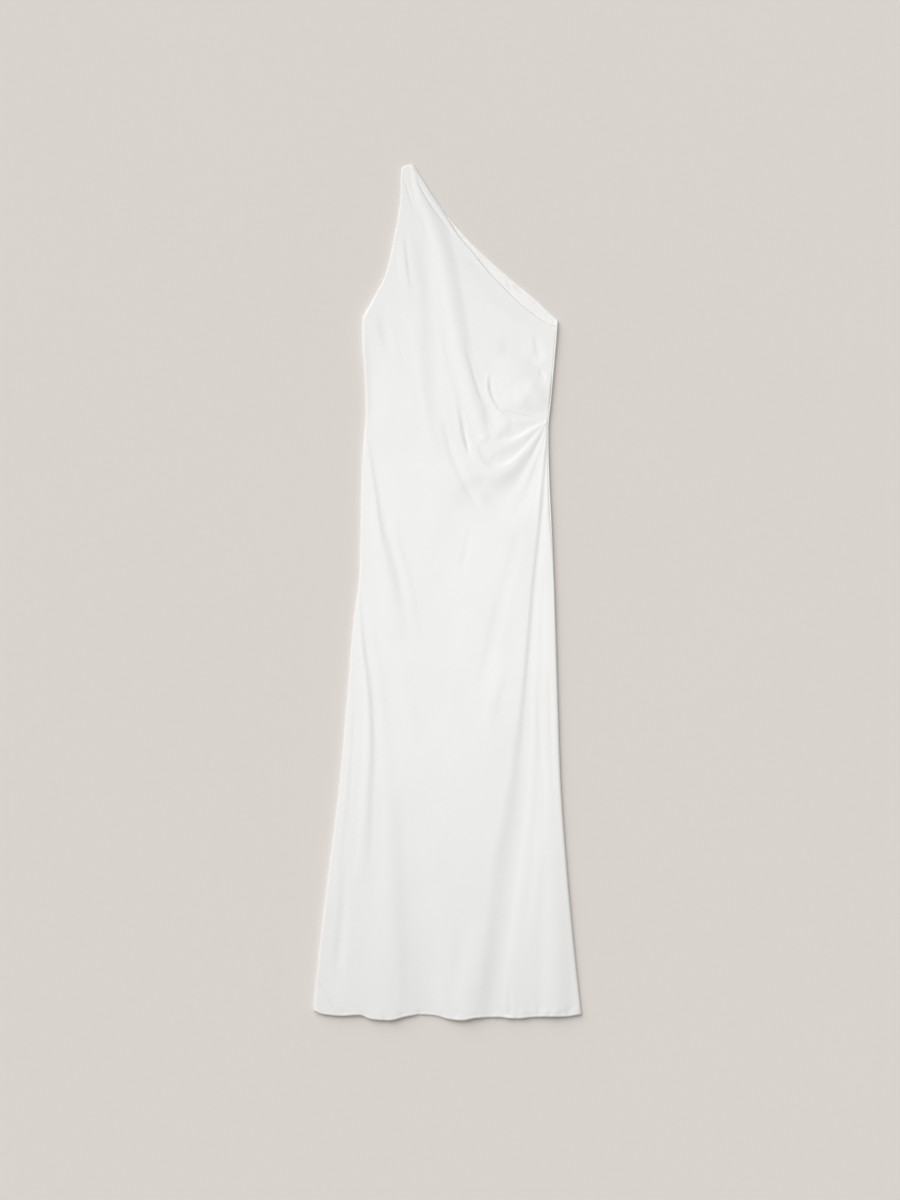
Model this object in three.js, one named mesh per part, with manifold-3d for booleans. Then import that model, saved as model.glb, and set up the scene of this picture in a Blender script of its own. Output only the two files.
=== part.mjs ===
import * as THREE from "three";
import { mergeVertices } from "three/addons/utils/BufferGeometryUtils.js";
import Module from "manifold-3d";

// A floor-length one-shoulder dress in white silk satin, cut on the bias and laid out flat, front side up.
// The front is draped: its fullness falls from the shoulder in one long fold and is caught in a tuck in the
// side seam at the waist. The back lies flat underneath, and the two panels lie on each other.
// All sizes are millimetres. "down" is the distance from the shoulder fold towards the hem, and "x" runs
// across, from the wearer's right (minus) to the wearer's left (plus), from the middle of the outline.

// Cloth and seams
const CLOTH = 1.4; // wall of one layer of cloth, with its turned edges
const FACING_CLOTH = 1.1; // the facing's single layer
const SEAM_GAP = 0.3; // between pieces that are sewn to each other
const EDGE_INSET = 0.5; // the front's edge lies this far inside the back's

// How the upper layer lies on the lower one
const EDGE_TOP = CLOTH + SEAM_GAP + CLOTH; // height of the front where it is sewn to the back
const NECK_EDGE_TOP = 4.9; // height of the front's neck edge, which lies on the facing
const EDGE_ROLL = 7; // width of the soft round at the edges
const BODY_LOFT = 7.5; // usual height of the front's outer side
const STRAP_LOFT = 4.6;
const STRAP_LENGTH = 90; // over this the strap's loft grows to the body's
const HEM_LOFT = 6;
const HEM_SETTLE = 160; // over this the body's loft falls to the hem's
const LOWEST_WALL = 1.1; // least thickness where the front is pressed onto the back

// Outline of the laid-out dress
const ARMHOLE = [
  { down: 8, x: -84 },
  { down: 64, x: -86 },
  { down: 100, x: -91 },
  { down: 136, x: -98 },
  { down: 172, x: -105 },
  { down: 208, x: -116.5 },
  { down: 244, x: -136 },
  { down: 273, x: -153 },
];
const RIGHT_SIDE_SEAM = [
  { down: 273, x: -153 },
  { down: 284, x: -155 },
  { down: 316, x: -155 },
  { down: 388, x: -150 },
  { down: 442, x: -148.5 },
  { down: 496, x: -152 },
  { down: 568, x: -156 },
  { down: 676, x: -158 },
  { down: 739, x: -159.5 },
  { down: 820, x: -170 },
  { down: 964, x: -182 },
  { down: 1108, x: -194.5 },
  { down: 1252, x: -212 },
  { down: 1396, x: -229.5 },
  { down: 1522, x: -241 },
];
const BACK_NECKLINE = [
  { down: 1, x: -62 },
  { down: 28, x: -44.5 },
  { down: 64, x: -21 },
  { down: 100, x: 6 },
  { down: 136, x: 38 },
  { down: 172, x: 75 },
  { down: 208, x: 116 },
  { down: 244, x: 159 },
  { down: 281, x: 198 },
];
const LEFT_SIDE_SEAM = [
  { down: 281, x: 198 },
  { down: 298, x: 196 },
  { down: 352, x: 191 },
  { down: 424, x: 184 },
  { down: 478, x: 179 },
  { down: 568, x: 181 },
  { down: 640, x: 185 },
  { down: 784, x: 191 },
  { down: 964, x: 197 },
  { down: 1108, x: 203 },
  { down: 1252, x: 213 },
  { down: 1396, x: 226 },
  { down: 1529, x: 240 },
];
const FRONT_NECKLINE = [
  { down: 1, x: -62.5 },
  { down: 28, x: -45.5 },
  { down: 64, x: -22.5 },
  { down: 84, x: -9 },
  { down: 105, x: 4 },
  { down: 132, x: 21.5 },
  { down: 156, x: 43 },
  { down: 188, x: 68 },
  { down: 219, x: 97 },
  { down: 251, x: 130 },
  { down: 278, x: 165.5 },
  { down: 288, x: 183 },
  { down: 293, x: 195.5 },
];
const HEM = [
  { x: -241, down: 1522 },
  { x: -226, down: 1529 },
  { x: -190, down: 1532 },
  { x: -160, down: 1530.5 },
  { x: -137, down: 1538 },
  { x: -106, down: 1540 },
  { x: -76, down: 1533.5 },
  { x: -50, down: 1530 },
  { x: -25, down: 1531.5 },
  { x: 2, down: 1538 },
  { x: 24, down: 1540 },
  { x: 52, down: 1535.5 },
  { x: 90, down: 1534.5 },
  { x: 120, down: 1537 },
  { x: 160, down: 1534 },
  { x: 215, down: 1533 },
  { x: 240, down: 1529 },
];
const SHOULDER_SLANT = 6; // the shoulder fold drops this much towards the armhole
const SHOULDER_ROUND = 14; // over this the slant and the fold's round run out
const UNDERARM = 293; // the front's full width starts here
const HEM_LEVEL = 1533; // the last row before the hem's waves are added
const HEM_REACH = 260; // the waves run this far up the skirt

// Folds of the front, from the top of each to its foot. rise is the height at its start, middle and end,
// less than zero for a valley. left and right are the half widths on either hand, looking down the fold
// with the shoulder behind, as it is drawn: left is the wearer's right.
const FOLDS = [
  {
    name: "shoulder drape into the tuck",
    path: [
      [-70, 10], [-41, 100], [-11, 217], [11, 328], [34, 427], [50, 469], [72, 491], [97, 497], [124, 489],
      [149, 474], [177, 465],
    ],
    rise: [2.5, 7, 4], left: [7, 20, 6], right: [7, 16, 6],
  },
  {
    name: "valley inside the shoulder drape",
    path: [
      [-34, 86], [-14, 132], [0, 186], [11, 244], [22, 298], [34, 343], [49, 388], [65, 424], [79, 449],
      [97, 467], [130, 471], [160, 465],
    ],
    rise: [-1, -4, -2], left: [8, 14, 6], right: [8, 18, 6],
  },
  {
    name: "strap valley",
    path: [[-82, 20], [-68, 55], [-56, 91]],
    rise: [-2, -2, 0], left: [5, 7, 8], right: [5, 7, 9],
  },
  {
    name: "neck roll valley",
    path: [[-56, 24], [-41, 57], [-9, 103], [16, 139]],
    rise: [-1, -2.4, 0], left: [5, 7, 7], right: [4, 6, 6],
  },
  {
    name: "armhole crease",
    path: [[-82, 140], [-75, 186], [-68, 230]],
    rise: [0, -2, 0], left: [6, 7, 6], right: [9, 12, 9],
  },
  {
    name: "valley outside the shoulder drape",
    path: [[-22, 208], [-5, 298], [13, 392], [25, 450], [41, 519]],
    rise: [0, -2.4, -2.4], left: [8, 10, 7], right: [5, 7, 6],
  },
  {
    name: "waist ridge",
    path: [[-56, 372], [-47, 415], [-38, 470], [-18, 540]],
    rise: [0, 2.6, 0], left: [9, 10, 12], right: [11, 13, 16],
  },
  {
    name: "bust hollow",
    path: [[-47, 244], [-38, 316], [-29, 379], [-12, 455], [4, 510]],
    rise: [0, -2.4, 0], left: [16, 18, 14], right: [14, 14, 10],
  },
  {
    name: "ridge under the drape",
    path: [[-3, 478], [13, 526], [31, 559], [67, 617]],
    rise: [1, 2.4, 0], left: [9, 10, 12], right: [10, 12, 14],
  },
  {
    name: "bust pouch roll",
    path: [[75, 368], [69, 392], [74, 417], [92, 437], [128, 446], [176, 458]],
    rise: [0, 4.2, 2], left: [10, 11, 7], right: [10, 11, 7],
  },
  {
    name: "bust pouch valley",
    path: [[80, 380], [83, 410], [94, 428]],
    rise: [0, -3, 0], left: [8, 8, 8], right: [9, 12, 9],
  },
  {
    name: "tuck valley",
    path: [[68, 514], [92, 518], [115, 507], [139, 490], [168, 471]],
    rise: [0, -2.6, -1], left: [9, 8, 5], right: [9, 8, 5],
  },
  {
    name: "second tuck ridge",
    path: [[52, 514], [66, 537], [84, 543], [101, 537], [119, 524], [140, 506], [159, 488], [177, 468]],
    rise: [1, 4.6, 2.4], left: [10, 11, 6], right: [10, 10, 6],
  },
  {
    name: "hollow under the tuck",
    path: [[62, 560], [82, 567], [103, 560], [126, 536], [151, 507], [174, 478]],
    rise: [-1, -4, -1], left: [14, 18, 7], right: [12, 12, 6],
  },
  {
    name: "third tuck ridge",
    path: [[177, 476], [167, 503], [155, 536], [140, 573], [124, 610], [106, 650]],
    rise: [2.5, 3, 0], left: [7, 12, 20], right: [7, 13, 24],
  },
  {
    name: "left skirt valley",
    path: [
      [176, 492], [173, 544], [167, 604], [158, 694], [149, 820], [142, 928], [124, 1099], [97, 1270],
      [81, 1436],
    ],
    rise: [-1, -4.5, -3], left: [7, 13, 36], right: [6, 11, 16],
  },
  {
    name: "left skirt ridge",
    path: [[177, 604], [161, 784], [152, 910], [140, 1031], [126, 1279], [105, 1459], [107, 1530]],
    rise: [0, 3.2, 2.6], left: [7, 11, 14], right: [8, 16, 26],
  },
  {
    name: "left panel ridge",
    path: [[161, 985], [176, 1157], [189, 1360]],
    rise: [0, 1.6, 0], left: [8, 10, 10], right: [8, 12, 12],
  },
  {
    name: "right hip valley",
    path: [[-147, 470], [-138, 532], [-127, 607], [-115, 667], [-91, 802], [-72, 900]],
    rise: [-1.5, -3.4, 0], left: [6, 9, 12], right: [10, 14, 18],
  },
  {
    name: "right hip ridge",
    path: [[-147, 540], [-139, 622], [-129, 712], [-118, 790], [-102, 884]],
    rise: [0, 2.4, 0], left: [10, 14, 14], right: [8, 10, 12],
  },
  {
    name: "right skirt valley",
    path: [[-158, 759], [-151, 820], [-144, 892], [-140, 964], [-139, 1045], [-144, 1140]],
    rise: [-1.5, -3, 0], left: [5, 7, 8], right: [7, 9, 12],
  },
  {
    name: "right skirt ridge",
    path: [[-142, 780], [-127, 874], [-117, 1000], [-118, 1144], [-112, 1369], [-112, 1535]],
    rise: [0, 2.6, 3.4], left: [8, 12, 22], right: [8, 12, 24],
  },
  {
    name: "right skirt hollow",
    path: [[-133, 847], [-112, 946], [-92, 1054], [-87, 1170], [-92, 1297], [-80, 1450], [-60, 1530]],
    rise: [0, -2.8, -2.2], left: [8, 12, 18], right: [12, 18, 26],
  },
  {
    name: "right edge ridge",
    path: [[-166, 856], [-154, 1054], [-157, 1144], [-166, 1290]],
    rise: [0, 2, 0], left: [8, 9, 10], right: [6, 8, 10],
  },
  {
    name: "right panel valley",
    path: [[-86, 616], [-72, 712], [-54, 802]],
    rise: [0, -1.4, 0], left: [12, 14, 12], right: [12, 14, 12],
  },
  {
    name: "middle valley",
    path: [[103, 712], [94, 820], [79, 901], [54, 991]],
    rise: [0, -1.6, 0], left: [16, 20, 18], right: [16, 20, 18],
  },
  {
    name: "hem wave",
    path: [[34, 1360], [28, 1450], [23, 1540]],
    rise: [0, 2.4, 4], left: [20, 24, 30], right: [20, 24, 28],
  },
];
const BUST_POUCH = { x: 116, down: 388, across: 52, along: 58, rise: 3.6 };

// Facing inside the back neckline, which shows above the front neckline
const FACING = { from: 66, to: 291, tuckedUnder: 10, edgeInset: 0.8, beadWidth: 2.5, beadRise: 0.7 };
const FACING_MARGIN = 12; // the front lies on the facing this far past the facing's ends
const FACING_ROWS = 30;

// Piecing seam across the front's hem corner
const CORNER_SEAM = [
  { x: -260, down: 1415.5 },
  { x: -186, down: 1557.5 },
];

// Mesh steps
const FRONT_ROWS = [
  { to: 4, steps: 2 },
  { to: 24, steps: 3 },
  { to: UNDERARM, steps: 16 },
  { to: 400, steps: 9 },
  { to: 520, steps: 19 },
  { to: 570, steps: 4 },
  { to: 800, steps: 7 },
  { to: 1420, steps: 12 },
  { to: HEM_LEVEL - 8, steps: 5 },
  { to: HEM_LEVEL, steps: 2 },
];
const EDGE_STEPS = [0, 1.4, 4, EDGE_ROLL];
const COLUMNS_TO_GUIDE = 10;
const COLUMNS_FROM_GUIDE = 18;
// One column of points follows this line, down the shoulder drape and then down the middle of the skirt.
const GUIDE = [
  { down: 0, x: -73 },
  { down: 100, x: -41 },
  { down: 217, x: -11 },
  { down: 328, x: 11 },
  { down: 427, x: 34 },
  { down: 500, x: 30 },
  { down: 620, x: 4 },
  { down: 800, x: -26 },
  { down: 1540, x: -56 },
];
const NARROW_ROW = 60; // rows narrower than this have their edge steps drawn in
const FOLD_STEPS = 30;
const OUTLINE_STEP = 24;

const mix = (a, b, t) => a + (b - a) * t;
const clamp01 = (t) => Math.min(1, Math.max(0, t));
const smooth = (t) => clamp01(t) ** 2 * (3 - 2 * clamp01(t));
const quarterRound = (t) => Math.sqrt(1 - (1 - clamp01(t)) ** 2);

// A smooth curve through a table's rows that doesn't overshoot them: value[to] as a function of value[from].
function through(table, from, to) {
  const slopes = table.map((row, i) => {
    if (i === 0 || i === table.length - 1) return null;
    const before = (row[to] - table[i - 1][to]) / (row[from] - table[i - 1][from]);
    const after = (table[i + 1][to] - row[to]) / (table[i + 1][from] - row[from]);
    return before * after <= 0 ? 0 : (2 * before * after) / (before + after);
  });
  return (at) => {
    let i = 1;
    while (i < table.length - 1 && table[i][from] < at) i += 1;
    const a = table[i - 1];
    const b = table[i];
    const span = b[from] - a[from];
    const chord = (b[to] - a[to]) / span;
    const startSlope = slopes[i - 1] ?? chord;
    const endSlope = slopes[i] ?? chord;
    const t = clamp01((at - a[from]) / span);
    return (
      a[to] * (1 + 2 * t) * (1 - t) ** 2 +
      startSlope * span * t * (1 - t) ** 2 +
      b[to] * t * t * (3 - 2 * t) +
      endSlope * span * t * t * (t - 1)
    );
  };
}

const armhole = through(ARMHOLE, "down", "x");
const rightSide = through(RIGHT_SIDE_SEAM, "down", "x");
const backNeckline = through(BACK_NECKLINE, "down", "x");
const leftSide = through(LEFT_SIDE_SEAM, "down", "x");
const frontNeckline = through(FRONT_NECKLINE, "down", "x");
const hemLine = through(HEM, "x", "down");
const guide = through(GUIDE, "down", "x");

const outlineMinus = (down) => (down < ARMHOLE.at(-1).down ? armhole(down) : rightSide(down));
const outlinePlus = (down) => (down < BACK_NECKLINE.at(-1).down ? backNeckline(down) : leftSide(down));
const frontMinus = (down) => outlineMinus(down) + EDGE_INSET;
const frontPlus = (down) => (down < UNDERARM ? frontNeckline(down) : leftSide(down) - EDGE_INSET);

// Where a point of a level row really lies, once the shoulder's slant and the hem's waves are added.
function settled(x, down, minus, plus) {
  const slant = SHOULDER_SLANT * ((plus - x) / (plus - minus)) * (1 - smooth(down / SHOULDER_ROUND));
  const wave = (hemLine(x) - HEM_LEVEL) * smooth((down - HEM_LEVEL + HEM_REACH) / HEM_REACH);
  return { x, down: down + slant + wave };
}

// Value at t of a quantity given at a fold's start, middle and end.
function partWay([start, middle, end], t) {
  return t < 0.5 ? mix(start, middle, smooth(2 * t)) : mix(middle, end, smooth(2 * t - 1));
}

const foldLines = FOLDS.map((fold) => {
  const points = fold.path.map(([x, down]) => new THREE.Vector2(x, down));
  return { ...fold, line: new THREE.SplineCurve(points).getSpacedPoints(FOLD_STEPS) };
});

// Height that one fold adds at a point: a bell across the fold, whose size follows the fold's length.
function foldHeight({ line, rise, left, right }, x, down) {
  let nearest = { far: Infinity, side: 0, t: 0 };
  for (let i = 1; i < line.length; i += 1) {
    const a = line[i - 1];
    const stepX = line[i].x - a.x;
    const stepDown = line[i].y - a.y;
    const length = Math.hypot(stepX, stepDown);
    const t = clamp01(((x - a.x) * stepX + (down - a.y) * stepDown) / length ** 2);
    const offX = x - a.x - t * stepX;
    const offDown = down - a.y - t * stepDown;
    const far = Math.hypot(offX, offDown);
    if (far < nearest.far) {
      nearest = { far, side: offX * stepDown - offDown * stepX, t: (i - 1 + t) / (line.length - 1) };
    }
  }
  const width = partWay(nearest.side > 0 ? right : left, nearest.t);
  const share = nearest.far / width;
  return share < 1 ? partWay(rise, nearest.t) * (1 - share * share) ** 2 : 0;
}

function pouchHeight(x, down) {
  const across = (x - BUST_POUCH.x) / BUST_POUCH.across;
  const along = (down - BUST_POUCH.down) / BUST_POUCH.along;
  const share = Math.hypot(across, along);
  return share < 1 ? BUST_POUCH.rise * (1 - share * share) ** 2 : 0;
}

function bodyLoft(down) {
  const upper = mix(STRAP_LOFT, BODY_LOFT, smooth(down / STRAP_LENGTH));
  return mix(upper, HEM_LOFT, smooth((down - HEM_LEVEL + HEM_SETTLE) / HEM_SETTLE));
}

function neckEdgeTop(down) {
  const onFacing = smooth((down - FACING.from + 30) / 40) * (1 - smooth((down - FACING.to) / 30));
  return mix(EDGE_TOP, NECK_EDGE_TOP, onFacing);
}

// Height of the front's outer side at a point of a row.
function frontTop(x, down, minus, plus) {
  const roll = Math.min(EDGE_ROLL, (plus - minus) / 3);
  const fromMinus = quarterRound((x - minus) / roll);
  const fromPlus = quarterRound((plus - x) / roll);
  const fromTop = quarterRound((down + 1) / EDGE_ROLL);
  const fromHem = mix(0.5, 1, quarterRound((HEM_LEVEL - down) / EDGE_ROLL));
  const inside = fromMinus * fromPlus * fromTop * fromHem;
  const edge = mix(EDGE_TOP, neckEdgeTop(down), smooth((x - minus) / (plus - minus)));
  const folds = foldLines.reduce((sum, fold) => sum + foldHeight(fold, x, down), 0);
  const height = mix(edge, bodyLoft(down), inside) + (folds + pouchHeight(x, down)) * inside;
  return Math.max(height, edge);
}

function frontUnderside(x, down, minus, plus) {
  const besideFacing = down > FACING.from - FACING_MARGIN && down < FACING.to + FACING_MARGIN;
  const overFacing = besideFacing && x > frontNeckline(down) - FACING.tuckedUnder - FACING_MARGIN;
  const rest = CLOTH + SEAM_GAP + (overFacing ? FACING_CLOTH + SEAM_GAP : 0);
  const top = frontTop(x, down, minus, plus);
  return Math.min(Math.max(top - CLOTH, rest), top - LOWEST_WALL);
}

// Closed wall between two grids of points with the same rows and columns.
function wallBetween(upper, lower) {
  const rows = upper.length;
  const columns = upper[0].length;
  const positions = [...upper, ...lower].flat(2);
  const index = [];
  const top = (r, c) => r * columns + c;
  const bottom = (r, c) => rows * columns + top(r, c);
  const height = (i) => positions[3 * i + 2];
  // Each quad is split along the diagonal that changes height less, so that the splits follow the folds.
  const quad = (a, b, c, d) => {
    const alongFirst = Math.abs(height(a) - height(c)) <= Math.abs(height(b) - height(d));
    index.push(...(alongFirst ? [a, b, c, a, c, d] : [a, b, d, b, c, d]));
  };
  for (let r = 0; r < rows - 1; r += 1) {
    for (let c = 0; c < columns - 1; c += 1) {
      quad(top(r, c), top(r + 1, c), top(r + 1, c + 1), top(r, c + 1));
      quad(bottom(r, c), bottom(r, c + 1), bottom(r + 1, c + 1), bottom(r + 1, c));
    }
    quad(top(r, 0), bottom(r, 0), bottom(r + 1, 0), top(r + 1, 0));
    quad(top(r, columns - 1), top(r + 1, columns - 1), bottom(r + 1, columns - 1), bottom(r, columns - 1));
  }
  for (let c = 0; c < columns - 1; c += 1) {
    quad(top(0, c), top(0, c + 1), bottom(0, c + 1), bottom(0, c));
    quad(top(rows - 1, c), bottom(rows - 1, c), bottom(rows - 1, c + 1), top(rows - 1, c + 1));
  }
  return new THREE.BufferGeometry()
    .setAttribute("position", new THREE.Float32BufferAttribute(positions, 3))
    .setIndex(index);
}

function rowsDown(spans) {
  const rows = [0];
  for (const { to, steps } of spans) {
    const from = rows.at(-1);
    for (let i = 1; i <= steps; i += 1) rows.push(mix(from, to, i / steps));
  }
  return rows;
}

function spaced(from, to, steps) {
  return Array.from({ length: steps }, (_, i) => mix(from, to, (i + 1) / steps));
}

function columnsAcross(down, minus, plus) {
  const drawIn = Math.min(1, (plus - minus) / NARROW_ROW);
  const edge = EDGE_STEPS.map((step) => step * drawIn);
  const innerMinus = minus + edge.at(-1);
  const innerPlus = plus - edge.at(-1);
  const toGuide = spaced(innerMinus, guide(down), COLUMNS_TO_GUIDE);
  const fromGuide = spaced(guide(down), innerPlus, COLUMNS_FROM_GUIDE).slice(0, -1);
  return [...edge.map((e) => minus + e), ...toGuide, ...fromGuide, ...edge.map((e) => plus - e).reverse()];
}

// The whole front, before its hem corner is cut off at the piecing seam.
function wholeFront() {
  const rows = rowsDown(FRONT_ROWS).map((down) => {
    const minus = frontMinus(down);
    const plus = frontPlus(down);
    return columnsAcross(down, minus, plus).map((x) => {
      return { x, down, minus, plus, place: settled(x, down, minus, plus) };
    });
  });
  const layer = (height) =>
    rows.map((row) => row.map((p) => [p.place.x, -p.place.down, height(p.x, p.down, p.minus, p.plus)]));
  return wallBetween(layer(frontTop), layer(frontUnderside));
}

function backPanel() {
  const minusEdge = [];
  const plusEdge = [];
  for (let down = 1; down < HEM_LEVEL; down += OUTLINE_STEP) {
    minusEdge.push({ x: outlineMinus(down), down });
    plusEdge.push({ x: outlinePlus(down), down });
  }
  const corners = [ARMHOLE.at(-1), BACK_NECKLINE.at(-1)];
  minusEdge.push(corners[0]);
  plusEdge.push(corners[1]);
  const byDown = (a, b) => a.down - b.down;
  minusEdge.sort(byDown);
  plusEdge.sort(byDown);
  const settle = (p) => settled(p.x, p.down, outlineMinus(p.down), outlinePlus(p.down));
  const hem = HEM.map(({ x, down }) => ({ x, down }));
  const outline = [...minusEdge.map(settle), ...hem, ...plusEdge.reverse().map(settle)];
  const shape = new THREE.Shape(outline.map((p) => new THREE.Vector2(p.x, -p.down)));
  return new THREE.ExtrudeGeometry(shape, { depth: CLOTH, bevelEnabled: false });
}

function backNeckFacing() {
  const floor = CLOTH + SEAM_GAP;
  const upper = [];
  const lower = [];
  for (let i = 0; i <= FACING_ROWS; i += 1) {
    const down = mix(FACING.from, FACING.to, i / FACING_ROWS);
    const outer = outlinePlus(down) - FACING.edgeInset;
    const inner = Math.min(frontNeckline(down) - FACING.tuckedUnder, outer - 3 * FACING.beadWidth);
    const bead = outer - FACING.beadWidth;
    const across = [inner, mix(inner, outer, 0.5), bead - FACING.beadWidth, bead, outer];
    const rises = [0, 0, 0, FACING.beadRise, 0];
    upper.push(across.map((x, c) => [x, -down, floor + FACING_CLOTH + rises[c]]));
    lower.push(across.map((x) => [x, -down, floor]));
  }
  return wallBetween(upper, lower);
}

// Everything on the hem corner's side of the piecing seam, moved out from the seam by a gap.
function cornerBlock(gap) {
  const [from, to] = CORNER_SEAM;
  const length = Math.hypot(to.x - from.x, to.down - from.down);
  const outX = (gap * (to.down - from.down)) / length;
  const outDown = (gap * (to.x - from.x)) / length;
  const a = [from.x + outX, -(from.down - outDown)];
  const b = [to.x + outX, -(to.down - outDown)];
  const shape = new THREE.Shape([a, [a[0], b[1]], b].map(([x, y]) => new THREE.Vector2(x, y)));
  return new THREE.ExtrudeGeometry(shape, { depth: 60, bevelEnabled: false }).translate(0, 0, -20);
}

const wasm = await Module();
wasm.setup();

function toSolid(geometry) {
  const bare = new THREE.BufferGeometry().setAttribute("position", geometry.getAttribute("position"));
  const merged = mergeVertices(bare.setIndex(geometry.index), 1e-4);
  return new wasm.Manifold(
    new wasm.Mesh({
      numProp: 3,
      vertProperties: merged.attributes.position.array,
      triVerts: new Uint32Array(merged.index.array),
    }),
  );
}

function toGeometry(solid) {
  const mesh = solid.getMesh();
  return new THREE.BufferGeometry()
    .setAttribute("position", new THREE.BufferAttribute(mesh.vertProperties, 3))
    .setIndex(new THREE.BufferAttribute(mesh.triVerts, 1));
}

const satin = new THREE.MeshStandardMaterial({ color: 0xf2f1ee, roughness: 0.42, metalness: 0 });
const satinBack = new THREE.MeshStandardMaterial({ color: 0xeeedea, roughness: 0.6, metalness: 0 });

function piece(name, geometry, material) {
  const mesh = new THREE.Mesh(geometry, material);
  mesh.name = name;
  mesh.geometry.computeVertexNormals();
  return mesh;
}

const front = toSolid(wholeFront());
const frontPanel = toGeometry(front.subtract(toSolid(cornerBlock(SEAM_GAP))));
const hemCorner = toGeometry(front.intersect(toSolid(cornerBlock(0))));

const dress = new THREE.Group();
dress.add(
  piece("back_panel", backPanel(), satinBack),
  piece("back_neck_facing", backNeckFacing(), satinBack),
  piece("front_panel", frontPanel, satin),
  piece("front_hem_corner", hemCorner, satin),
);

// The origin is the middle of the outline's box, on the surface that the dress lies on.
const box = new THREE.Box3().setFromObject(dress, true);
const middle = box.getCenter(new THREE.Vector3());
dress.position.set(-middle.x, -middle.y, -box.min.z);

export default dress;
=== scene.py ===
"""A floor-length one-shoulder dress in white silk satin, laid out flat, front side up.

The front is draped on the bias from the shoulder into a tuck in the waist's side seam. Its cloth is a
thin shell over a grid of rows and columns, raised by the folds of one table. Sizes in the tables are
millimetres: "down" is the distance from the shoulder fold towards the hem, and "x" runs across, from
the wearer's right (minus) to the wearer's left (plus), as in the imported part.
"""

import math
from collections import namedtuple

import bmesh
import bpy
import numpy as np
from bpy.props import FloatProperty, FloatVectorProperty, PointerProperty
from mathutils import Matrix, Vector


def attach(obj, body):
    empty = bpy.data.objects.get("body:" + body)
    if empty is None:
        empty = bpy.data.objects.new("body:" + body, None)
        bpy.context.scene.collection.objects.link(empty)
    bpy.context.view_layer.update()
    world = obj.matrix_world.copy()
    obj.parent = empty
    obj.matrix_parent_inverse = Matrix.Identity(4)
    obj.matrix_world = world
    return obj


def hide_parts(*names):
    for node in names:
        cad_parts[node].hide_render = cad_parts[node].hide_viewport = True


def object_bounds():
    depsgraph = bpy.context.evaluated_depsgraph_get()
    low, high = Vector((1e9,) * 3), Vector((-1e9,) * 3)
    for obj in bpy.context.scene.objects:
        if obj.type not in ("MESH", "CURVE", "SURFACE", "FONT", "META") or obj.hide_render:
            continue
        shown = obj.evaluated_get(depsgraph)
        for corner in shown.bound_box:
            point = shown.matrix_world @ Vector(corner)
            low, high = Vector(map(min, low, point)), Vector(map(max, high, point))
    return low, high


bl_info = {
    "name": "One-shoulder satin dress",
    "version": (1, 0, 0),
    "blender": (4, 5, 0),
    "location": "3D View > Sidebar > Dress",
    "description": "Builds a draped one-shoulder satin dress that lies flat",
    "category": "Add Mesh",
}

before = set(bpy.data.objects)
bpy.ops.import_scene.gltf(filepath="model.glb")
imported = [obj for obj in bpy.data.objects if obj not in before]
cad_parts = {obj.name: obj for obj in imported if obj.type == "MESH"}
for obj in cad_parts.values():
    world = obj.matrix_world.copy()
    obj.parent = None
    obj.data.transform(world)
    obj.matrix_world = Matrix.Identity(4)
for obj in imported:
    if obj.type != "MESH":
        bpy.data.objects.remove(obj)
CAD_LOW, CAD_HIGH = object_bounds()
MM = 0.001

# Outline of the laid-out dress, as rows of (down, x)
ARMHOLE = ((8, -84), (64, -86), (100, -91), (136, -98), (172, -105), (208, -116.5), (244, -136), (273, -153))
RIGHT_SIDE_SEAM = (
    (273, -153), (284, -155), (316, -155), (388, -150), (442, -148.5), (496, -152), (568, -156),
    (676, -158), (739, -159.5), (820, -170), (964, -182), (1108, -194.5), (1252, -212), (1396, -229.5),
    (1522, -241),
)
BACK_NECKLINE = (
    (1, -62), (28, -44.5), (64, -21), (100, 6), (136, 38), (172, 75), (208, 116), (244, 159), (281, 198),
)
LEFT_SIDE_SEAM = (
    (281, 198), (298, 197), (352, 192.5), (424, 186), (478, 181), (568, 183), (640, 186.5), (784, 192.5),
    (964, 198), (1108, 203), (1252, 213), (1396, 226), (1529, 240),
)
FRONT_NECKLINE = (
    (1, -62.5), (28, -45.5), (64, -22.5), (84, -9), (105, 4), (132, 21.5), (156, 43), (188, 68),
    (219, 97), (251, 130), (278, 165.5), (288, 183), (293, 195.5),
)
# The hem's lower edge, as rows of (x, down)
HEM = (
    (-241, 1522), (-226, 1529), (-190, 1532), (-160, 1530.5), (-137, 1538), (-106, 1540), (-76, 1533.5),
    (-50, 1530), (-25, 1531.5), (2, 1538), (24, 1540), (52, 1535.5), (90, 1534.5), (120, 1537),
    (160, 1534), (215, 1533), (240, 1529),
)
UNDERARM_LEFT = BACK_NECKLINE[-1][0]
FRONT_CORNER = FRONT_NECKLINE[-1][0]  # where the front's neckline meets the side seam
SHOULDER_SLANT = 4  # the shoulder fold drops this much towards the armhole
SHOULDER_CORNER = 6  # and this much more in its rounded corner
SHOULDER_ROUND = 20  # over this the slant runs out
HEM_LEVEL = 1533  # the last row before the hem's waves are added
HEM_REACH = 260  # the waves run this far up the skirt

# Where the tables' origin lies in the frame: the outline's lowest x, and the shoulder fold
SHIFT_X = CAD_LOW.x / MM - HEM[0][0]
SHOULDER_Y = CAD_HIGH.y / MM

# Cloth
SATIN_WALL = 0.6
BACK_WALL = 0.8
FACING_WALL = 0.5

# In section the dress is a flat tube with a roll at each side: rows of (down, height of the roll)
ROLL_HEIGHT = ((0, 3.4), (30, 4.4), (80, 5.4), (293, 6.4), (600, 6.8), (1300, 6.8), (1533, 5.6))
ROLL_MIDDLE = 0.42  # the roll is widest at this share of its height
UNDER_WIDTH = 2.2  # half width of a roll below its widest line
OVER_WIDTH = 2.2  # and above it, where the cloth comes down softly
QUARTER_TURN = 3.8  # cloth from the widest line to the roll's top
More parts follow.
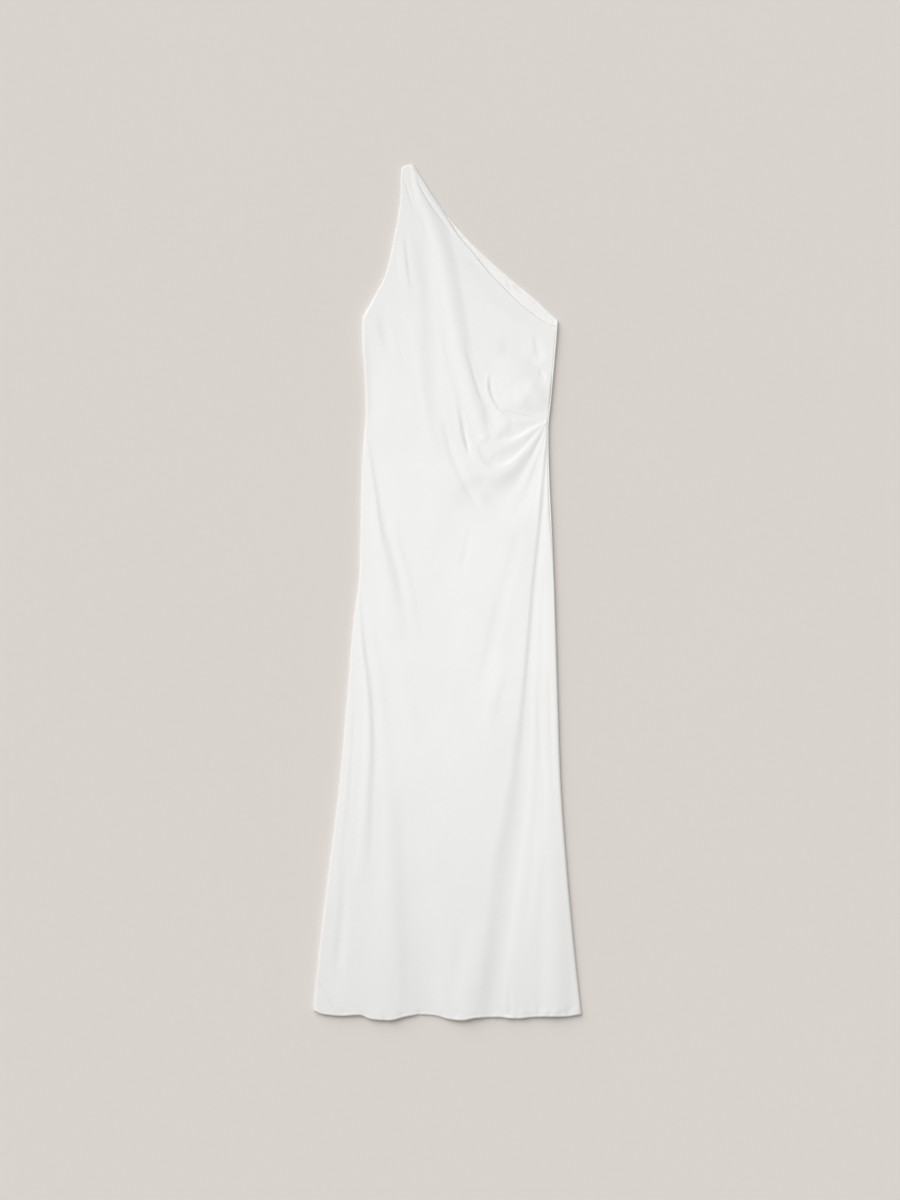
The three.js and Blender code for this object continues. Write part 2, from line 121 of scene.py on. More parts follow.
# Along the left side seam the roll is tight: rows of (down, half width above the widest line)
LEFT_OVER_WIDTH = ((293, 1.5), (690, 1.5), (860, 3.2), (1533, 5))
# Place of the side seams, along the cloth from the roll's top: less than zero is down its outer side
LEFT_SEAM_PLACE = (
    (293, 2.4), (380, 2.2), (430, 1.2), (470, 0.9), (520, 1.2), (620, 1.5), (700, -0.2), (770, -3),
    (860, -6), (1533, -6),
)
RIGHT_SEAM_PLACE = -6
SEAM_GAP = 0.12  # from the middle of a seam to the cloth on either hand
SEAM_STEP = 6  # cloth next to a seam on top of the roll that gets close columns
SEAM_GROOVE = ((293, 0.1), (380, 0.15), (440, 0.5), (620, 0.6), (700, 0.4), (860, 0.3), (1533, 0.3))
SEAM_GROOVE_WIDTH = 1.2
SEAM_GROOVE_FADE = 12  # it starts over this, below the neckline's corner
# Upper side of the front away from its edges: rows of (down, height)
LOFT = ((0, 3.6), (30, 4.4), (90, 5.2), (293, 6.6), (480, 7.2), (1373, 7.2), (1533, 6.2))
LOFT_BLEND = 56  # the loft is reached this far in from a roll
FOLD_FADE = 3.4  # folds rise over this from the outline
LEFT_FOLD_FADE = 5.5  # the same on the left, where the seam lies on top of the roll
FINE_WAVE, BROAD_WAVE = 0.10, 0.08  # heights of the laid cloth's slight waviness
SHOULDER_MIDDLE = 2.0  # height of the shoulder fold's edge
SHOULDER_TURN = 5  # over this the layers spread from the shoulder fold

# Small rolls along the neck edges: place of the cloth's end, half width, lowest and highest
BACK_NECK_ROLL = (0.6, 1.4, 0.0, 2.4)
FRONT_NECK_ROLL = (-6.3, 2.2, 2.1, 4.6)
NECK_TO_SIDE = 14  # over this a neck roll becomes the side's

# The bust pouch, a soft dome over the tuck
BUST_POUCH = {"x": 120, "down": 386, "across": 50, "along": 62, "rise": 1.9}

# Hem: a narrow rolled edge
HEM_ROLL = 5.0
HEM_ROLL_RISE = 0.1
# The stitched line above the roll: its depth, place and half width, the last two as shares of the roll
HEM_GROOVE, HEM_GROOVE_PLACE, HEM_GROOVE_WIDTH = 0.14, 1.12, 0.25
HEM_TURN = 1.6  # the edge turns down this much
HEM_TURN_WIDTH = 3.2
HEM_FADE = 3  # the hem's relief runs out over this at each side seam
HEM_STITCH_RISE = 24  # the line of stitches is this far above the edge, clear of the roll
CRINKLE_SEED = 11
# Short creases up from the hem: (from x, to x, how many, longest)
CRINKLES = ((-230, -186, 5, 24), (-150, 90, 8, 16), (112, 230, 11, 28))
CRINKLE_STRAY = 5  # off its even place, either way
CRINKLE_LEAN = 0.35  # to either side, as a share of its length
# Least and most: half width, height at the hem's edge, and height half way up
CRINKLE_WIDTH, CRINKLE_EDGE_RISE, CRINKLE_RISE = (4, 6.5), (-1.5, 1.4), (-1.1, 1.1)

# Piecing seam across the front's hem corner, as two points (x, down)
CORNER_SEAM = ((-260, 1415.5), (-186, 1557.5))
CORNER_CUTS = (0.06, 0.9, 2.0, 3.6)  # from the seam to where the cloth is cut or gets a row of points
CORNER_NEAR = 43.2  # only faces this close to the seam are cut
CORNER_RIDGE = 0.3  # the seam allowance under the cloth lifts it this much
CORNER_RIDGE_WIDTH = 1.3
CORNER_PUCKER, CORNER_PUCKER_LENGTH = 0.25, 2.3  # its share of the ridge, and its length over two pi

# Facing inside the back neckline
FACING_ENDS = (66, 291)
FACING_TUCKED_UNDER = 10  # it runs this far under the front's neck edge
FACING_INSET = 2.1  # and starts this far inside the back's edge
FACING_LEVEL = 1.0  # of its underside, clear of the back
FACING_NARROWEST = 12
UNDERSTITCH = 4.6  # from the facing's outer edge
# Small relief of the facing: heights and half widths, and the height of its waves
FACING_EDGE_LIFT, FACING_EDGE_WIDTH = 0.6, 1.6
UNDERSTITCH_DENT, UNDERSTITCH_WIDTH = 0.3, 0.9
FACING_PUCKER, FACING_PUCKER_WIDTH = 0.22, 4
FACING_WAVE = 0.25
FACING_ROWS = 110
FACING_COLUMNS = 22
FACING_CLOSENESS = 0.8  # a power less than one sets its columns closer towards the outer edge

# Stitches that show: their spacing, length and thickness, and how far the thread's middle is off the cloth
UNDERSTITCH_THREAD = (3.2, 1.9, 0.3, 0.05)
HEM_THREAD = (6.5, 1.1, 0.22, 0.04)

# Rows of the grids, as (down to, steps)
FRONT_ROWS = (
    (2, 3), (8, 4), (60, 18), (293, 84), (400, 38), (520, 56), (640, 36), (900, 34), (1420, 52),
    (1515, 16), (1527, 6), (1533, 6),
)
BACK_ROWS = ((2, 3), (8, 3), (270, 56), (300, 14), (640, 40), (1420, 40), (1527, 8), (1533, 4))
ROLL_STEPS = 6
FRONT_TO_GUIDE = 44
FRONT_FROM_GUIDE = 78
BACK_COLUMNS = 40
BACK_PLUS_ROLL_STEPS = 14
NARROW_ROW = 60  # rows narrower than this have their rolls drawn in
NARROWEST_ROLL = 0.3  # but never to less than this share
GUIDE_INSET = 2  # the guide's column stays this far inside the rolls
# One column follows this line, down the shoulder drape and then the middle of the skirt: (down, x)
GUIDE = (
    (0, -73), (100, -41), (217, -11), (328, 11), (427, 34), (500, 30), (620, 4), (800, -26), (1540, -56),
)

# A fold runs along its path of (x, down). rise is its height at even steps along it, less than zero for a
# valley. minus and plus are the half widths on either hand: plus is towards +x where the fold runs down the
# dress, and towards the shoulder where it runs to +x.
Fold = namedtuple("Fold", "name path rise minus plus")

FOLDS = [Fold(*row) for row in (
    ("strap crease", ((-81, 22), (-74, 40), (-69, 57), (-63, 74), (-57, 92)),
     (-0.3, -0.6, -0.5, 0), (3, 4, 5), (3, 4, 6)),
    ("shoulder drape",
     ((-62, 8), (-52, 50), (-41, 76), (-29, 102), (-14, 150), (-4, 200), (5, 250), (14, 300), (22, 342),
      (33, 382), (43, 422), (54, 460), (64, 490)),
     (1.0, 2.3, 2.7, 2.7, 2.6, 2.4, 2.1, 1.1),
     (8, 15, 19, 20, 19, 18, 18, 14), (7, 17, 25, 27, 26, 24, 24, 14)),
    ("line in the shoulder drape", ((-30, 200), (-22, 248), (-7, 318), (4, 365), (13, 405), (19, 432)),
     (0, -0.3, -0.4, -0.5, -0.3), (4, 4, 4), (3, 3, 3)),
    ("crease at the drape's foot", ((18, 425), (23, 446), (28, 470), (32, 492), (38, 515), (44, 526)),
     (0, -1.2, -2.4, -2.2, 0), (4, 6, 6), (4, 5, 5)),
    ("second line right of the drape", ((30, 318), (38, 350), (50, 392), (60, 420), (72, 440)),
     (0, -0.5, -0.8, -0.8, 0), (5, 5, 6), (6, 7, 8)),
    ("hollow left of the drape",
     ((-48, 120), (-38, 180), (-32, 240), (-27, 300), (-25, 350), (-23, 400), (-19, 440), (-12, 480)),
     (0, -1.0, -1.3, -1.1, -0.9, -0.9, -0.7, 0), (16, 20, 20, 18, 16), (14, 16, 18, 18, 18)),
    ("neck crease",
     ((-57, 24), (-48, 44), (-40, 58), (-32, 71), (-22, 85), (-12, 98), (-1, 113), (13, 134)),
     (-0.4, -1.1, -1.1, -1.1, -0.9, 0), (2.6, 3, 3.4), (2.6, 3, 3.4)),
    ("neck roll", ((-48, 30), (-38, 50), (-24, 73), (-8, 95), (6, 115), (18, 132)),
     (0.3, 0.7, 0.7, 0.5, 0), (4, 5, 5), (5, 6, 7)),
    ("hollow beside the neckline", ((30, 162), (48, 178), (70, 194)), (0, -0.5, 0), (9, 12, 10), (7, 8, 7)),
    ("armhole crease", ((-83, 126), (-80.5, 150), (-77, 178), (-74, 204), (-70, 236)),
     (0, 0.8, 1.0, 0.8, 0), (14, 16, 16), (5, 5, 6)),
    ("ridge beside the armhole crease", ((-72, 110), (-67, 145), (-63, 185), (-58, 225)),
     (0, 0.4, 0.4, 0), (6, 6, 7), (11, 12, 12)),
    ("waist ridge",
     ((-62, 270), (-57, 310), (-54, 345), (-50, 380), (-46, 415), (-41, 445), (-34, 475), (-26, 505),
      (-14, 535)),
     (0, 0.8, 0.8, 0.6, 0.6, 0.5, 0.5, 0), (18, 18, 12, 7, 8, 16, 24), (18, 18, 15, 12, 11, 14, 20)),
    ("ridge down the middle of the bodice", ((-2, 350), (8, 390), (16, 430), (22, 470), (30, 520)),
     (0, 0.5, 0.7, 0.5, 0), (12, 13, 12), (7, 7, 7)),
    ("crease at the right of the bust", ((-92, 305), (-86, 330), (-80, 352), (-74, 372)),
     (0, -0.4, -0.3, 0), (6, 6, 6), (6, 6, 6)),
    ("slack along the right side", ((-132, 226), (-150, 270), (-153, 320), (-148, 380)),
     (0, 1.7, 1.8, 0), (10, 10, 10), (36, 48, 40)),
    ("swell over the right hip", ((-136, 610), (-80, 606), (-20, 600), (30, 610)),
     (0, 1.1, 1.1, 0), (110, 140, 120), (70, 90, 70)),
    ("valley beside the right side seam",
     ((-147, 280), (-143, 320), (-139, 365), (-137, 410), (-137, 450), (-140, 485)),
     (-0.5, -1.2, -1.3, -1.2, 0), (10, 11, 11), (24, 34, 34)),
    ("hollow under the right arm", ((-122, 268), (-116, 295), (-108, 325), (-100, 350)),
     (0, -1.0, -0.8, 0), (12, 14, 14), (14, 16, 14)),
    ("valley under the drape",
     ((-10, 448), (-4, 475), (2, 500), (9, 525), (18, 548), (30, 574), (44, 600), (62, 630)),
     (0, -0.9, -1.2, -1.1, -0.8, -0.5, 0), (8, 9, 9, 10), (8, 9, 8, 8)),
    ("ridge under the drape", ((24, 520), (34, 552), (46, 577), (58, 598), (70, 618)),
     (0, 0.6, 0.9, 0.8, 0), (6, 8, 8), (12, 22, 18)),
    ("hollow above the bust", ((86, 338), (108, 338), (130, 342), (150, 350), (166, 364)),
     (0, -1.3, -1.9, -1.6, 0), (16, 18, 14), (34, 42, 34)),
    ("dent above the bust", ((153, 304), (157, 318), (160, 334), (168, 356)),
     (0, -0.9, -0.9, 0), (5, 6, 6), (12, 14, 12)),
    ("bank of the bust pouch",
     ((80, 368), (72, 381), (70, 398), (73, 414), (79, 427), (87, 438), (96, 449)),
     (0, 0.5, 0.7, 0.6, 0.5, 0.3), (5, 6, 6), (3.4, 3.4, 3.4)),
    ("fold round the bust pouch", ((88, 438), (96, 449), (101, 463), (98, 476), (87, 486), (70, 491)),
     (0.2, 0.5, 0.6, 0.5, 0.4, 0.2), (10, 12, 10), (12, 16, 12)),
    ("hollow in the bust pouch's fold", ((70, 428), (76, 446), (80, 464), (78, 478)),
     (0, -0.8, -0.9, 0), (14, 16, 14), (9, 11, 9)),
    ("crease of the bust pouch", ((76, 385), (76, 400), (78, 412), (83, 424), (91, 436)),
     (-0.4, -1.1, -1.1, -0.9, -0.6), (2.4, 2.6, 2.6), (6, 8, 8)),
    ("lower crease of the bust pouch",
     ((90, 440.5), (104, 445), (118, 449), (136, 453), (156, 457), (174, 461)),
     (-0.6, -1.1, -1.1, -0.9, -0.6), (5, 6, 3), (2.6, 3.4, 3)),
    ("lower edge of the bust pouch", ((92, 428), (110, 428), (128, 426), (148, 418), (178, 402)),
     (0.3, 1.2, 2.4, 3.3, 1.9), (10, 18, 28, 38, 44), (16, 28, 38, 40, 34)),
    ("ridge across the bust pouch", ((126, 436), (136, 420), (146, 406), (154, 392), (160, 372)),
     (0.1, 0.3, 0.3, 0.2, 0), (10, 12, 10), (8, 9, 8)),
    ("hollow beside the tuck", ((142, 448), (158, 450), (178, 455)),
     (0, -0.5, -0.6), (2, 2, 2), (10, 14, 14)),
    ("dent in the side seam", ((165, 368), (167, 378), (170, 388)), (0, -1.0, 0), (4, 4.6, 4), (7, 8, 7)),
    ("second dent in the side seam", ((176, 372), (173, 382), (170, 394)),
     (0, -0.7, 0), (3, 3.4, 3), (3, 3, 3)),
    ("first tuck valley",
     ((82, 493), (97, 494), (112, 491), (127, 484), (143, 475), (160, 468), (174, 463)),
     (-0.2, -1.1, -1.6, -1.5, -0.9, -0.3), (5, 6.5, 6.5, 4, 2), (12, 24, 28, 20, 10, 3)),
    ("first tuck ridge",
     ((62, 494), (78, 499), (92, 502), (106, 502), (120, 498), (135, 490), (150, 480), (164, 471),
      (177, 464)),
     (0.8, 1.1, 1.2, 1.0, 0.9, 0.5), (16, 24, 22, 12, 3), (7, 8, 7, 4, 2)),
    ("second tuck valley",
     ((66, 530), (78, 538), (92, 538), (106, 533), (122, 521), (138, 505), (152, 490), (165, 475)),
     (0, -1.2, -1.4, -1.1, -0.7, -0.5, -0.3, -0.1), (9, 8, 6, 5, 3, 2), (16, 24, 26, 20, 10, 3)),
    ("second tuck ridge",
     ((50, 508), (56, 529), (66, 543), (80, 549), (95, 547), (110, 540), (126, 527), (142, 510), (158, 490),
      (175, 467)),
     (0.7, 1.1, 1.2, 1.0, 0.9, 0.8, 0.5), (18, 30, 34, 26, 12, 2), (7, 7, 7, 5, 4, 1.8)),
    ("hollow under the tuck",
     ((26, 566), (54, 588), (82, 599), (104, 594), (124, 576), (141, 551), (154, 526), (165, 502),
      (176, 474)),
     (0, -2.2, -3.3, -3.1, -2.1, -1.1, -0.3), (50, 64, 64, 44, 12, 2), (26, 38, 40, 34, 24, 10, 2)),
    ("third tuck ridge",
     ((176, 472), (171, 492), (164, 512), (156, 532), (148, 552), (138, 574), (127, 594), (114, 614),
      (96, 640)),
     (0.5, 0.8, 0.9, 0.8, 0.6, 0.4, 0), (2, 8, 13, 18, 22), (2, 6, 9, 13, 18)),
    ("fourth tuck ridge",
     ((177, 486), (174, 512), (171, 540), (168, 568), (165, 596), (162, 630), (157, 664)),
     (0.4, 0.6, 0.7, 0.6, 0.4, 0), (2, 4, 5, 8, 12), (2, 2.6, 3, 4, 4)),
    ("left skirt valley",
     ((178, 512), (176, 545), (174, 572), (172, 600), (169, 640), (165, 680), (161, 720), (157.5, 765),
      (154.5, 810), (150, 865), (147, 910), (144, 955), (140, 1000), (137, 1050), (134, 1095), (131, 1140),
      (126, 1190), (118, 1240), (112, 1290), (107, 1340), (99, 1390), (93, 1440), (87, 1485), (80, 1535)),
     (-0.4, -0.9, -1.2, -1.3, -1.5, -1.7, -2.2, -2.8, -3.0, -2.6, -1.9, -1.4),
     (3, 5, 8, 10, 12, 15, 22, 32, 38, 38, 34, 34), (3, 8, 16, 26, 38, 46, 54, 58, 56, 50, 44, 38)),
    ("core of the left skirt valley",
     ((173, 575), (170, 605), (166, 645), (161.5, 690), (156, 740), (151.5, 790), (148, 840), (144, 895),
      (140, 940), (136, 985), (132, 1030), (127, 1080)),
     (0, -0.3, -0.4, -0.3, -0.15, 0), (3, 4, 5), (3, 4, 5)),
    ("left skirt ridge",
     ((179, 560), (178, 610), (175, 660), (171, 710), (167, 760), (163, 820), (160, 880), (158, 940),
      (156, 1000), (154, 1060), (151, 1120), (147, 1170), (141, 1220), (134, 1280), (127, 1340),
      (118, 1400), (111, 1450), (105, 1510)),
     (0.1, 0.2, 0.3, 0.3, 0.4, 0.5, 0.6, 0.7, 0.8, 0.7, 0.4),
     (2, 6, 9, 10, 10, 12, 14, 14, 14), (2, 4, 7, 9, 10, 14, 18, 22, 20)),
    ("left panel crease", ((160, 925), (163, 985), (167, 1045), (171, 1105), (172, 1165), (171, 1230)),
     (0, -0.3, -0.4, -0.3, -0.3, 0), (5, 6, 7), (5, 6, 8)),
    ("crease beside the left side seam", ((182, 890), (184, 950), (185, 1010), (188, 1080), (193, 1150)),
     (0, -0.4, -0.5, -0.3, 0), (5, 6, 6), (4, 5, 5)),
    ("left hem ridge", ((186, 1180), (190, 1260), (194, 1340), (196, 1420), (196, 1520)),
     (0, 0.8, 1.3, 1.8, 2.1), (14, 24, 32, 36), (14, 22, 28, 32)),
    ("right hip ridge",
     ((-149, 482), (-145, 506), (-141.5, 530), (-138, 555), (-134.5, 580), (-131, 605), (-126.5, 640),
      (-123, 662), (-118, 686), (-112.5, 711), (-107, 736), (-102.5, 765), (-98, 795), (-93, 825),
      (-86, 868)),
     (0.6, 1.5, 2.1, 2.6, 3.0, 3.0, 2.3, 1.4, 0),
     (5, 9, 13, 17, 20, 24, 28, 30), (4, 8, 11, 13, 16, 20, 26, 30)),
    ("core of the right hip valley",
     ((-145, 490), (-138, 530), (-130, 580), (-122, 634), (-114, 684), (-104, 732), (-96, 770)),
     (-0.3, -0.4, -0.5, -0.6, -0.6, -0.4, 0), (4, 4, 5), (4, 5, 7)),
    ("crease in the right hip ridge", ((-150, 610), (-150, 660), (-148.5, 710), (-146, 765)),
     (0, -0.3, -0.3, 0), (5, 6, 6), (5, 6, 6)),
    ("second right hip ridge",
     ((-102, 612), (-94, 655), (-86, 700), (-75, 740), (-67, 780), (-60, 826), (-52, 875)),
     (0, 0.6, 0.9, 0.9, 0.8, 0.4, 0), (12, 14, 16, 18), (8, 9, 11, 12)),
    ("right flare ridge",
     ((-162, 764), (-160, 800), (-157, 835), (-154.5, 870), (-150.5, 902), (-147, 932), (-144.5, 962),
      (-143, 1000), (-143, 1040), (-144.5, 1080), (-147, 1120), (-150, 1180), (-154, 1230), (-157, 1300)),
     (0.6, 1.5, 2.2, 2.5, 2.5, 2.2, 1.8, 1.3, 0.8, 0), (5, 8, 10, 12, 14, 16), (5, 8, 11, 14, 17, 20)),
    ("core of the right flare valley",
     ((-156, 790), (-152.5, 850), (-146.5, 905), (-141, 955), (-139, 1010), (-138.5, 1070)),
     (0, -0.4, -0.5, -0.4, -0.2, 0), (4, 4, 5), (4, 5, 6)),
    ("crease beside the right flare ridge",
     ((-168, 870), (-167, 940), (-169, 1010), (-172, 1080), (-175, 1160)),
     (0, -0.3, -0.4, -0.3, 0), (6, 7, 7), (6, 7, 7)),
    ("right edge ridge",
     ((-172, 960), (-175, 1010), (-178, 1060), (-182, 1110), (-187, 1165), (-195, 1230), (-204, 1330)),
     (0, 0.5, 0.6, 0.6, 0.5, 0.4, 0), (5, 7, 9), (6, 7, 9)),
    ("right edge crease", ((-187, 1060), (-189.5, 1110), (-193, 1160)), (0, -0.8, 0), (3, 4, 4), (3, 4, 4)),
    ("right skirt ridge",
     ((-152, 765), (-147, 800), (-141, 830), (-135, 862), (-128, 905), (-123, 950), (-119, 1000),
      (-116, 1050), (-113, 1100), (-108, 1150), (-105, 1200), (-104, 1270), (-104, 1340), (-103, 1410),
      (-105, 1470), (-103, 1538)),
     (0.2, 0.6, 0.7, 0.8, 0.9, 0.9, 1.1, 1.3, 1.4, 1.4),
     (5, 8, 10, 13, 16, 24, 36, 50, 52), (5, 9, 16, 22, 26, 28, 32, 36, 38)),
    ("ridge inside the right skirt", ((-96, 860), (-86, 910), (-76, 955), (-66, 1010), (-58, 1060)),
     (0, 0.5, 0.6, 0.5, 0), (14, 16, 16), (22, 24, 24)),
    ("crease inside the right skirt", ((-138, 1100), (-136, 1160), (-137, 1220), (-142, 1280)),
     (0, -0.4, -0.4, 0), (9, 10, 10), (8, 9, 9)),
    ("right hem hollow", ((-80, 1120), (-72, 1230), (-58, 1330), (-44, 1420), (-32, 1538)),
     (0, -1.0, -1.8, -2.4, -2.5), (28, 42, 52, 54), (46, 56, 50)),
    ("right corner crease", ((-184, 1250), (-186, 1310), (-191, 1370), (-196, 1420), (-198, 1468)),
     (0, -0.7, -1.1, -1.2, -0.3), (10, 12, 12), (10, 14, 16)),
    ("hem wave", ((62, 1350), (56, 1400), (50, 1440), (41, 1480), (36, 1540)),
     (0, 1.0, 1.6, 2.0, 2.0), (26, 34, 36, 34), (28, 40, 44, 44)),
    ("small hem wave", ((-16, 1450), (-10, 1485), (-4, 1515), (0, 1540)),
     (0, 0.6, 0.8, 0.6), (22, 26, 24), (16, 18, 18)),
    ("hem nick", ((108, 1472), (111, 1495), (113, 1530)), (0, -0.7, -0.7), (3, 3.5, 4), (3, 3.5, 4)),
    ("middle valley",
     ((132, 640), (122, 690), (108, 740), (96, 785), (86, 830), (76, 875), (64, 920), (50, 965)),
     (0, -0.4, -0.4, -0.5, -0.6, -0.6, -0.4, 0), (14, 16, 16), (16, 18, 18)),
    ("small hollow of the skirt", ((40, 650), (36, 680), (30, 710), (22, 740)),
     (0, -0.4, -0.5, 0), (10, 11, 10), (9, 10, 9)),
    ("soft ridge of the skirt", ((104, 880), (92, 930), (78, 980), (66, 1030)),
     (0, 0.5, 0.5, 0), (16, 18, 18), (14, 14, 14)),
)]

# Creases of the facing where it is crumpled
FACING_CREASES = [Fold(*row) for row in (
    ("upper crease", ((96, 206), (104, 214), (112, 224)), (0, 1.1, 0), (2, 3, 2), (2, 3, 2)),
    ("middle crease", ((108, 212), (116, 218), (124, 229)), (0, 1.3, 0), (2, 3, 2), (2, 3, 2)),
    ("lower crease", ((112, 220), (122, 226), (134, 234)), (0, 1.1, 0), (2, 3, 2), (2, 3, 2)),
)]

# Satin: sizes along and across the thread of its floats and slubs, and of the patches in its lustre
FLOAT_SIZES, SLUB_SIZES, PATCH_SIZES = (2.4, 0.3), (38, 2.4), (110, 140)
BIAS = 45  # degrees from the dress's length to the thread
LUSTRE = (-0.04, 0.05)  # least and most that the patches add to the roughness
SLUB_SHARE = 0.4  # of the weave's relief
WEAVE_RELIEF = 0.06  # depth of the bump, in millimetres
REVERSE_DULLER = 0.16  # the reverse is this much rougher than the face
REVERSE_SHEEN = 0.1

# Light and camera, in metres. The key lights' height, turn from the shoulder and spread are in degrees.
DRESS_KEY = (37, 50, 36)
SURFACE_KEY = (29, 33, 54)
KEY_TINT = (0.98, 0.99, 1.03)  # a little cool on the dress
ROOM_TINT = (1, 0.99, 0.955, 1)  # warm, which shows most in the hollows
KEY_PLACE = (0, 0, 3)  # anywhere, since its light comes from one direction
OVERHEAD_SIZE = (1.1, 1.4)
OVERHEAD_HEIGHT = 2.0
OVERHEAD_Y = 0.10
OVERHEAD_GAIN = 1.13  # makes up for what the lamp's size takes from the light right under it
SURFACE_REACH = 80  # so far that no view shows the surface's end
CAMERA_X = 0.0041
CAMERA_Y = -0.0139
CAMERA_LENS = 85
CAMERA_SENSOR = 36
FRAME_HEIGHT = 2.16  # how much of the surface the image takes in, from top to bottom


def mix(a, b, t):
    return a + (b - a) * t


def smooth(t):
    t = np.clip(t, 0, 1)
    return t * t * (3 - 2 * t)


def bell(off, width):
    return np.exp(-((off / width) ** 2))


def quarter_round(t):
    return np.sqrt(1 - (1 - np.clip(t, 0, 1)) ** 2)


def through(rows):
    """A smooth curve through rows of (at, value) that doesn't overshoot them."""
    at, value = (np.array(column, float) for column in zip(*rows))
    chords = np.diff(value) / np.diff(at)
    slopes = np.concatenate([chords[:1], np.zeros(len(at) - 2), chords[-1:]])
    before, after = chords[:-1], chords[1:]
    agree = before * after > 0
    slopes[1:-1][agree] = 2 * before[agree] * after[agree] / (before[agree] + after[agree])

    def curve(where):
        where = np.asarray(where, float)
        i = np.clip(np.searchsorted(at, where, side="right") - 1, 0, len(at) - 2)
        span = at[i + 1] - at[i]
        t = np.clip((where - at[i]) / span, 0, 1)
        return (
            value[i] * (1 + 2 * t) * (1 - t) ** 2
            + slopes[i] * span * t * (1 - t) ** 2
            + value[i + 1] * t * t * (3 - 2 * t)
            + slopes[i + 1] * span * t * t * (t - 1)
        )

    return curve


def joined(upper, lower):
    """One edge of the outline from two curves, the second from where the first's rows end."""
    first, second, corner = through(upper), through(lower), upper[-1][0]
    return lambda down: np.where(down < corner, first(down), second(down))


outline_minus = joined(ARMHOLE, RIGHT_SIDE_SEAM)
back_plus, front_plus = joined(BACK_NECKLINE, LEFT_SIDE_SEAM), joined(FRONT_NECKLINE, LEFT_SIDE_SEAM)
hem_line, roll_height, loft, guide = through(HEM), through(ROLL_HEIGHT), through(LOFT), through(GUIDE)
left_seam_place, left_over_width = through(LEFT_SEAM_PLACE), through(LEFT_OVER_WIDTH)
seam_groove = through(SEAM_GROOVE)


def settled(x, down, minus, plus):
    """Where a level row's points lie once the shoulder's slant and the hem's waves are added."""
    share = np.clip((plus - x) / (plus - minus), 0, 1)
    slant = SHOULDER_SLANT * share**2 + SHOULDER_CORNER * np.clip(4 * share - 3, 0, 1) ** 2
    slant = slant * (1 - smooth(down / SHOULDER_ROUND))
    wave = (hem_line(x) - HEM_LEVEL) * smooth((down - HEM_LEVEL + HEM_REACH) / HEM_REACH)
    return down + slant + wave


def line_along(path, steps=5):
    """A smooth line of points through a path, and the share of its length at each point."""
    p = np.array(path, float)
    p = np.vstack([2 * p[0] - p[1], p, 2 * p[-1] - p[-2]])
    t = np.linspace(0, 1, steps, endpoint=False)[:, None]
    spans = [
        b + 0.5 * ((c - a) * t + (2 * a - 5 * b + 4 * c - d) * t**2 + (3 * b - a - 3 * c + d) * t**3)
        for a, b, c, d in zip(p[:-3], p[1:-2], p[2:-1], p[3:])
    ]
    line = np.vstack([*spans, p[-2]])
    lengths = np.concatenate([[0], np.cumsum(np.hypot(*np.diff(line, axis=0).T))])
    return line, lengths / lengths[-1]


def part_way(values, share):
    """Values given at even steps along a fold, smoothly between them."""
    values = np.array(values, float)
    at = np.clip(share, 0, 1) * (len(values) - 1)
    i = np.minimum(at.astype(int), len(values) - 2)
    return mix(values[i], values[i + 1], smooth(at - i))


def add_fold(fold, x, down, height):
    """Adds one fold to the heights, a rounded ridge or valley along its path."""
    line, share = line_along(fold.path)
    reach = max(*fold.minus, *fold.plus)
    low, high = line.min(0) - reach, line.max(0) + reach
    near = (x > low[0]) & (x < high[0]) & (down > low[1]) & (down < high[1])
    if not near.any():
        return
    near_x, near_down = x[near], down[near]
    far = np.full(near_x.shape, np.inf)
    side, at = np.zeros(near_x.shape), np.zeros(near_x.shape)
    for a, b, from_share, to_share in zip(line[:-1], line[1:], share[:-1], share[1:]):
        step = b - a
        t = np.clip(((near_x - a[0]) * step[0] + (near_down - a[1]) * step[1]) / (step @ step), 0, 1)
        off_x = near_x - a[0] - t * step[0]
        off_down = near_down - a[1] - t * step[1]
        here = np.hypot(off_x, off_down)
        closer = here < far
        far = np.where(closer, here, far)
        side = np.where(closer, off_x * step[1] - off_down * step[0], side)
        at = np.where(closer, mix(from_share, to_share, t), at)
    width = np.where(side > 0, part_way(fold.plus, at), part_way(fold.minus, at))
    height[near] += part_way(fold.rise, at) * np.clip(1 - (far / width) ** 2, 0, None) ** 2


def fold_heights(x, down):
    height = np.zeros(x.shape)
    for fold in [*FOLDS, *hem_creases()]:
        add_fold(fold, x, down, height)
    off_x = (x - BUST_POUCH["x"]) / BUST_POUCH["across"]
    off_down = (down - BUST_POUCH["down"]) / BUST_POUCH["along"]
    return height + BUST_POUCH["rise"] * np.clip(1 - off_x**2 - off_down**2, 0, None) ** 2


def hem_creases():
    """Short soft creases that run up from the hem, as the rolled edge draws the cloth in."""
    pick = np.random.default_rng(CRINKLE_SEED)
    for start, end, count, longest in CRINKLES:
        for middle in np.linspace(start, end, count):
            x = middle + pick.uniform(-CRINKLE_STRAY, CRINKLE_STRAY)
            length = longest * pick.uniform(0.5, 1)
            lean = length * pick.uniform(-CRINKLE_LEAN, CRINKLE_LEAN)
            width = pick.uniform(*CRINKLE_WIDTH)
            half_way = (x + 0.4 * lean, HEM_LEVEL - 0.5 * length)
            yield Fold(
                "crinkle",
                ((x, HEM_LEVEL + 6), half_way, (x + lean, HEM_LEVEL - length)),
                (pick.uniform(*CRINKLE_EDGE_RISE), pick.uniform(*CRINKLE_RISE), 0),
                (width, width, 1.4 * width),
                (width, 1.2 * width, 1.6 * width),
            )


